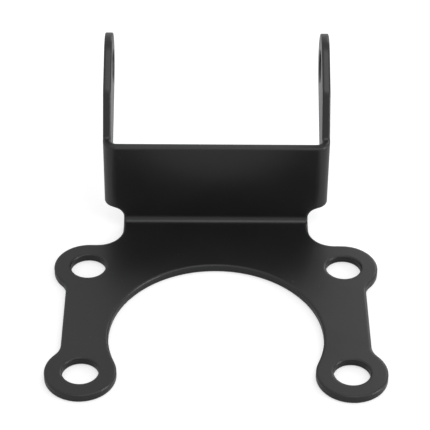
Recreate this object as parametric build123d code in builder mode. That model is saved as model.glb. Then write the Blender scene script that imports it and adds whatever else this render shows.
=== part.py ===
"""Motor mounting bracket: one blank of 2 mm sheet steel, folded three times.

Frame: origin midway between the four base holes, on the underside. X runs across the
bracket, Y from the open end of the cut-out towards the upright wall, Z up. Millimetres.
"""
import os
from math import cos, hypot, radians, sin, sqrt, tan

from build123d import *

# Sheet
sheet = 2.0                    # thickness
bend_radius = 1.5              # inside radius of all three folds
edge_radius = 0.3              # rolled-over rim of every cut edge

# Base plate
hole_spacing_x = 63.0
hole_spacing_y = 37.8
base_hole_dia = 8.6            # clearance for M8
lobe_radius = 8.4              # round corner about each hole, at base and ears alike
arms_width = 73.1              # across the straight outer edges of the two arms
arm_fillet = 5.0               # from an arm's straight edge into each lobe
cutout_dia = 51.1              # for the motor's spigot
neck_width = 46.7
neck_fillet = 6.3              # foot of each notch between shoulder and wall

# Upright wall
wall_setback = 18.4            # back holes to the wall's front face
wall_top = 24.6                # all heights are above the underside
wall_bottom = 5.8              # lower edge where the wall stands wider than the neck
notch_fillet = 2.9             # head of each notch
ears_width = 56.6              # outside to outside

# Ears
ear_hole_dia = 8.6
ear_hole_setback = 24.0        # wall's front face to the ear holes
ear_hole_height = 33.0
arm_angle = 32.0               # the ear's arm above the horizontal
root_angle = 57.0              # the steeper stretch between wall and arm
elbow_fillet = 5.0             # where the root turns into the arm
root_fillet = 1.0              # where the root leaves the fold

# Places that follow from the sizes
front_y, back_y = -hole_spacing_y / 2, hole_spacing_y / 2
hole_x = hole_spacing_x / 2
shoulder_y = back_y + lobe_radius
lobe_rise = sqrt(lobe_radius**2 - (arms_width / 2 - hole_x) ** 2)  # hole to where arm meets lobe
wall_y = back_y + wall_setback
outer_bend = bend_radius + sheet
mid_bend = bend_radius + sheet / 2
cutout_radius = cutout_dia / 2
# The cut-out touches both front lobes, so its edge runs into them without a corner.
lobe_reach = cutout_radius + lobe_radius
cutout_y = front_y + sqrt(lobe_reach**2 - hole_x**2)
touch_x = hole_x * cutout_radius / lobe_reach
touch_y = cutout_y - (cutout_y - front_y) * cutout_radius / lobe_reach
ear_y = wall_y + ear_hole_setback
fold_end_y = wall_y + outer_bend
ears_end_y = ear_y + lobe_radius
ears_top = ear_hole_height + lobe_radius


def crossing(start, start_angle, end, end_angle):
    """Point where two lines meet, each given by a point and its angle."""
    rise, run = tan(radians(start_angle)), tan(radians(end_angle))
    y = (end[1] - start[1] + rise * start[0] - run * end[0]) / (rise - run)
    return y, start[1] + rise * (y - start[0])


# Corners of an ear's side view, as (Y, Z).
lean = radians(arm_angle)
root_y = fold_end_y + root_fillet * tan(radians(root_angle) / 2)
upper_root, lower_root = (root_y, wall_top), (root_y, wall_bottom)
upper_end = (ear_y - lobe_radius * sin(lean), ear_hole_height + lobe_radius * cos(lean))
lower_end = (ear_y + lobe_radius * sin(lean), ear_hole_height - lobe_radius * cos(lean))
upper_elbow = crossing(upper_root, root_angle, upper_end, arm_angle)
lower_elbow = crossing(lower_root, root_angle, lower_end, arm_angle)



def near(place_x, place_y):
    """Selector for sketch corners at a place and its mirror image."""
    return lambda corner: hypot(abs(corner.X) - place_x, corner.Y - place_y) < 0.01



# Base plate: four lobes, two arms, the web behind the cut-out and the neck up to the fold.
with BuildPart() as base:
    with BuildSketch(Plane.XY) as plan:
        with BuildLine():
            outline = Polyline(
                (0, shoulder_y), (hole_x, shoulder_y), (hole_x, back_y), (arms_width / 2, back_y),
                (arms_width / 2, front_y), (hole_x, front_y), (touch_x, touch_y), (0, touch_y))
            mirror(outline, about=Plane.YZ)
        make_face()
        with GridLocations(hole_spacing_x, hole_spacing_y, 2, 2):
            Circle(lobe_radius)
        with Locations((0, (shoulder_y + wall_y - bend_radius) / 2)):
            Rectangle(neck_width, wall_y - bend_radius - shoulder_y)
        with Locations((0, cutout_y)):
            Circle(cutout_radius, mode=Mode.SUBTRACT)
        for arm_corner in (front_y + lobe_rise, back_y - lobe_rise):
            fillet(plan.vertices().filter_by(near(arms_width / 2, arm_corner)), arm_fillet)
        fillet(plan.vertices().filter_by(near(neck_width / 2, shoulder_y)), neck_fillet)
        with GridLocations(hole_spacing_x, hole_spacing_y, 2, 2):
            Circle(base_hole_dia / 2, mode=Mode.SUBTRACT)
    extrude(amount=sheet)

# Outline of the wall seen from the front, with the head of each notch.
with BuildSketch(Plane.XZ) as front_view:
    with Locations((0, wall_bottom / 2)):
        Rectangle(neck_width, wall_bottom)
    with Locations((0, (wall_bottom + ears_top) / 2)):
        Rectangle(ears_width, ears_top - wall_bottom)
    fillet(front_view.vertices().filter_by(near(neck_width / 2, wall_bottom)), notch_fillet)

# First fold, from the base up into the wall.
with BuildPart() as first_fold:
    with BuildSketch(Plane.YZ):
        with BuildLine():
            CenterArc((wall_y - bend_radius, outer_bend), mid_bend, -90, 90)
        trace(line_width=sheet)
    extrude(amount=ears_width / 2 - outer_bend, both=True)
    extrude(front_view.sketch, amount=wall_y + sheet, dir=(0, 1, 0), mode=Mode.INTERSECT)

# Wall, the two corner folds and the ears: a channel cut to its front and side views.
with BuildPart() as channel:
    with BuildSketch(Plane.XY.offset(outer_bend)):
        with BuildLine():
            side_x, wall_line = (ears_width - sheet) / 2, wall_y + sheet / 2
            FilletPolyline(
                (-side_x, ears_end_y), (-side_x, wall_line), (side_x, wall_line),
                (side_x, ears_end_y), radius=mid_bend)
        trace(line_width=sheet)
    extrude(amount=ears_top - outer_bend)
    extrude(front_view.sketch, amount=ears_end_y, dir=(0, 1, 0), mode=Mode.INTERSECT)
    with BuildSketch(Plane.YZ) as side_view:
        with BuildLine():
            Polyline(
                (wall_y, outer_bend), (wall_y, wall_top), upper_root, upper_elbow,
                upper_end, lower_end, lower_elbow, lower_root, (fold_end_y, wall_bottom),
                (fold_end_y, outer_bend), close=True)
        make_face()
        with Locations((ear_y, ear_hole_height)):
            Circle(lobe_radius)
        for elbow in (upper_elbow, lower_elbow):
            fillet(side_view.vertices().filter_by(near(*elbow)), elbow_fillet)
        for root in (upper_root, lower_root):
            fillet(side_view.vertices().filter_by(near(*root)), root_fillet)
        with Locations((ear_y, ear_hole_height)):
            Circle(ear_hole_dia / 2, mode=Mode.SUBTRACT)
    extrude(amount=ears_width, both=True, mode=Mode.INTERSECT)



def is_sharp(edge):
    """True where two faces of the bracket meet at an angle, not where one flows into the other."""
    middle = edge @ 0.5
    sides = [face for face in motor_bracket.faces() if any(edge.is_same(rim) for rim in face.edges())]
    return len(sides) == 2 and sides[0].normal_at(middle).get_angle(sides[1].normal_at(middle)) > 30



with BuildPart() as motor_bracket:
    add(base.part)
    add(first_fold.part)
    add(channel.part)
    fillet(motor_bracket.edges().filter_by(is_sharp), edge_radius)

os.makedirs("parts", exist_ok=True)
motor_bracket.part.label = "motor_bracket"
export_step(motor_bracket.part, "parts/motor_bracket.step")
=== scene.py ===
"""Motor mounting bracket in black powder coat, on a pale studio floor."""
from math import radians

import bmesh
import bpy
from mathutils import Matrix, Vector


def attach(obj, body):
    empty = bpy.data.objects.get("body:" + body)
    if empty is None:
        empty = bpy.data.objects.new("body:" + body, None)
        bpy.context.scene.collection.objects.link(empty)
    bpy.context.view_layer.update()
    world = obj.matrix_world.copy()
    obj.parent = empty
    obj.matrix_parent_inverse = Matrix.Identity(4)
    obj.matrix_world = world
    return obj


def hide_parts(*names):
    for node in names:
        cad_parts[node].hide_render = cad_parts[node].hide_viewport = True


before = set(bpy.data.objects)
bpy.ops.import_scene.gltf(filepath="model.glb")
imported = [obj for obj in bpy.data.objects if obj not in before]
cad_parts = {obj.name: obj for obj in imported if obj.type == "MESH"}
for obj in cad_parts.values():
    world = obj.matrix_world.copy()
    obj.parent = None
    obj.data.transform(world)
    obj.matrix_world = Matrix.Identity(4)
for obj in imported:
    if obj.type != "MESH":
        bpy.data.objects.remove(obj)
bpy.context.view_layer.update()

scene = bpy.context.scene


# ---------------------------------------------------------------- The bracket
# One blank of 2 mm sheet steel, cut, folded and powder coated. The CAD solid already
# has the whole form, so its loose triangles are merged into one skin, and the skin is
# shaded smooth over the folds and rounded edges and flat over the sheet.
MM = 0.001
weld_distance = 0.001 * MM
sharpest_smooth_edge = radians(35)

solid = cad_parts["motor_bracket"]
skin = bmesh.new()
skin.from_mesh(solid.data)
bmesh.ops.remove_doubles(skin, verts=skin.verts, dist=weld_distance)
for face in skin.faces:
    face.smooth = True
for edge in skin.edges:
    edge.smooth = edge.is_manifold and edge.calc_face_angle() < sharpest_smooth_edge
bracket_mesh = bpy.data.meshes.new("folded_bracket")
skin.to_mesh(bracket_mesh)
skin.free()
bracket = bpy.data.objects.new("folded_bracket", bracket_mesh)
scene.collection.objects.link(bracket)
flat_faces = bracket.modifiers.new("flat faces lead", "WEIGHTED_NORMAL")
flat_faces.keep_sharp = True
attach(bracket, "root")
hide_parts("motor_bracket")


def linear(hex_colour):
    """An sRGB hex colour as Blender's linear RGBA."""
    channels = [int(hex_colour[i:i + 2], 16) / 255 for i in (1, 3, 5)]
    return tuple(c / 12.92 if c <= 0.04045 else ((c + 0.055) / 1.055) ** 2.4 for c in channels) + (1,)


def add_node(tree, kind, settings=(), links=()):
    """A node in the tree, with its settings made and its sockets, by identifier, linked."""
    node = tree.nodes.new(kind)
    sockets = {socket.identifier: socket for socket in node.inputs}
    for name, value in dict(settings).items():
        if name in sockets:
            sockets[name].default_value = value
        else:
            setattr(node, name, value)
    for name, output in dict(links).items():
        tree.links.new(output, sockets[name])
    return node


# Smooth black powder coat. The eye gets a soft-edged sheen with slow clouds where the powder
# lay thicker, a faint orange peel 1.8 mm across, a few lighter nibs of grit under the coat, and rims
# that look rolled over and carry a painted highlight, a paler tone painted along every edge.
thin_powder, thick_powder = linear("#131314"), linear("#1a1a1c")
# Painted highlight: the paler tone laid along the rims, which the grit nibs also take.
rim_highlight_and_grit_tone = linear("#232325")
cloud_width = 16 * MM
rim_roll = 0.8 * MM                # how far the rims look rolled over
rim_highlight_width = 0.35 * MM              # how far the painted rim highlight reaches
peel_width = 1.8 * MM
peel_height = 0.02 * MM
grit_spacing = 5 * MM
nib_top, nib_foot = 0.1 * MM, 0.225 * MM
nib_height = 0.06 * MM

powder_coat = bpy.data.materials.new("smooth_black_powder_coat")
powder_coat.use_nodes = True
tree = powder_coat.node_tree
tree.nodes.clear()
place = add_node(tree, "ShaderNodeTexCoord").outputs["Object"]

colour_result = 2                  # a Mix node's outputs are a number, a vector and a colour
clouds = add_node(tree, "ShaderNodeTexNoise", {"Scale": 1 / cloud_width, "Detail": 2.0}, {
    "Vector": place}).outputs["Fac"]
sheen = add_node(tree, "ShaderNodeMapRange", {
    "From Min": 0.1, "From Max": 0.9, "To Min": 0.28, "To Max": 0.36}, {"Value": clouds})
clouded = add_node(tree, "ShaderNodeMix", {
    "data_type": "RGBA", "A_Color": thin_powder, "B_Color": thick_powder}, {"Factor_Float": clouds})

# Looking inwards, a rim is where the far side of the edge is close; there the colour gets a painted
# highlight.
rim_depth = add_node(tree, "ShaderNodeAmbientOcclusion", {
    "inside": True, "only_local": True, "samples": 8, "Distance": rim_highlight_width})
rim = add_node(tree, "ShaderNodeMapRange", {
    "From Min": 0.95, "From Max": 0.6, "To Min": 0.0, "To Max": 1.0}, {"Value": rim_depth.outputs["AO"]})
grit = add_node(tree, "ShaderNodeTexVoronoi", {"Scale": 1 / grit_spacing}, {"Vector": place})
nib = add_node(tree, "ShaderNodeMapRange", {
    "From Min": nib_top / grit_spacing, "From Max": nib_foot / grit_spacing,
    "To Min": 1.0, "To Max": 0.0}, {"Value": grit.outputs["Distance"]})
# The rims get the painted highlight and the grit nibs a paler speck, both in the one tone.
lighter = add_node(tree, "ShaderNodeMath", {"operation": "MAXIMUM"}, {
    "Value": rim.outputs["Result"], "Value_001": nib.outputs["Result"]})
coat_and_highlight_colour = add_node(tree, "ShaderNodeMix", {"data_type": "RGBA", "B_Color": rim_highlight_and_grit_tone}, {
    "Factor_Float": lighter.outputs["Value"], "A_Color": clouded.outputs[colour_result]})

rolled = add_node(tree, "ShaderNodeBevel", {"Radius": rim_roll, "samples": 8})
peel = add_node(tree, "ShaderNodeTexNoise", {"Scale": 1 / peel_width, "Detail": 1.0}, {"Vector": place})
peel_bump = add_node(tree, "ShaderNodeBump", {"Strength": 0.35, "Distance": peel_height}, {
    "Height": peel.outputs["Fac"], "Normal": rolled.outputs["Normal"]})
nib_bump = add_node(tree, "ShaderNodeBump", {"Strength": 0.6, "Distance": nib_height}, {
    "Height": nib.outputs["Result"], "Normal": peel_bump.outputs["Normal"]})
shader = add_node(tree, "ShaderNodeBsdfPrincipled", {"IOR": 1.5}, {
    "Base Color": coat_and_highlight_colour.outputs[colour_result], "Roughness": sheen.outputs["Result"],
    "Normal": nib_bump.outputs["Normal"]})
add_node(tree, "ShaderNodeOutputMaterial", links={"Surface": shader.outputs["BSDF"]})
bracket_mesh.materials.append(powder_coat)

# ---------------------------------------------------------------- The studio
# A pale floor that reads white to the camera, under a plain white sky. One softbox overhead
# lights the sloping edges of the ears, one at the back right brightens that side of the base,
# and one low at the right lights that side's bend and rims.
floor_side = 6
floor_drop = 0.1 * MM              # keeps the floor clear of the underside
floor_glow = 0.5                   # seen by the camera alone, so it lights nothing

bpy.ops.mesh.primitive_plane_add(size=floor_side, location=(0, 0, -floor_drop))
floor = bpy.context.object
floor.name = "studio_floor"
floor_paint = bpy.data.materials.new("pale_floor_paint")
floor_paint.use_nodes = True
tree = floor_paint.node_tree
tree.nodes.clear()
paint = add_node(tree, "ShaderNodeBsdfDiffuse", {"Color": linear("#d0d0d0")})
path = add_node(tree, "ShaderNodeLightPath")
lift = add_node(tree, "ShaderNodeMath", {"operation": "MULTIPLY", "Value_001": floor_glow}, {
    "Value": path.outputs["Is Camera Ray"]})
glow = add_node(tree, "ShaderNodeEmission", {"Color": linear("#ffffff")}, {
    "Strength": lift.outputs["Value"]})
both = add_node(tree, "ShaderNodeAddShader", links={
    "Shader": paint.outputs["BSDF"], "Shader_001": glow.outputs["Emission"]})
add_node(tree, "ShaderNodeOutputMaterial", links={"Surface": both.outputs["Shader"]})
floor.data.materials.append(floor_paint)

world = bpy.data.worlds.new("white_studio")
scene.world = world
world.use_nodes = True
tree = world.node_tree
tree.nodes.clear()
sky = add_node(tree, "ShaderNodeBackground", {"Color": linear("#ffffff"), "Strength": 0.74})
add_node(tree, "ShaderNodeOutputWorld", links={"Surface": sky.outputs["Background"]})

for name, side, watts, spot in (
        ("softbox_overhead", 0.6, 2.0, Vector((0.15, -0.2, 1.0))),
        ("softbox_back", 0.35, 1.5, Vector((0.42, 0.95, 0.6))),
        ("softbox_right", 0.4, 3.6, Vector((0.8, -0.25, 0.22)))):
    softbox = bpy.data.lights.new(name, "AREA")
    softbox.shape = "SQUARE"
    softbox.size = side
    softbox.energy = watts
    lamp = bpy.data.objects.new(name, softbox)
    lamp.matrix_world = Matrix.Translation(spot) @ spot.to_track_quat("Z", "Y").to_matrix().to_4x4()
    scene.collection.objects.link(lamp)

# ---------------------------------------------------------------- The camera
# A long lens, looking down on the bracket from in front.
camera_data = bpy.data.cameras.new("camera")
camera_data.sensor_width = 36
camera_data.lens = 158.9
camera_data.shift_x = 0.0008
camera_data.shift_y = -0.0008
camera_data.clip_start = 0.01
camera = bpy.data.objects.new("camera", camera_data)
pitch, yaw, roll = radians(38.32), radians(0.42), radians(0.57)
standpoint = Vector((-3.09, -340.96, 302.75)) * MM
camera.matrix_world = (
    Matrix.Translation(standpoint)
    @ Matrix.Rotation(-yaw, 4, "Z") @ Matrix.Rotation(radians(90) - pitch, 4, "X")
    @ Matrix.Rotation(roll, 4, "Z"))
scene.collection.objects.link(camera)
scene.camera = camera
scene.view_settings.view_transform = "Standard"
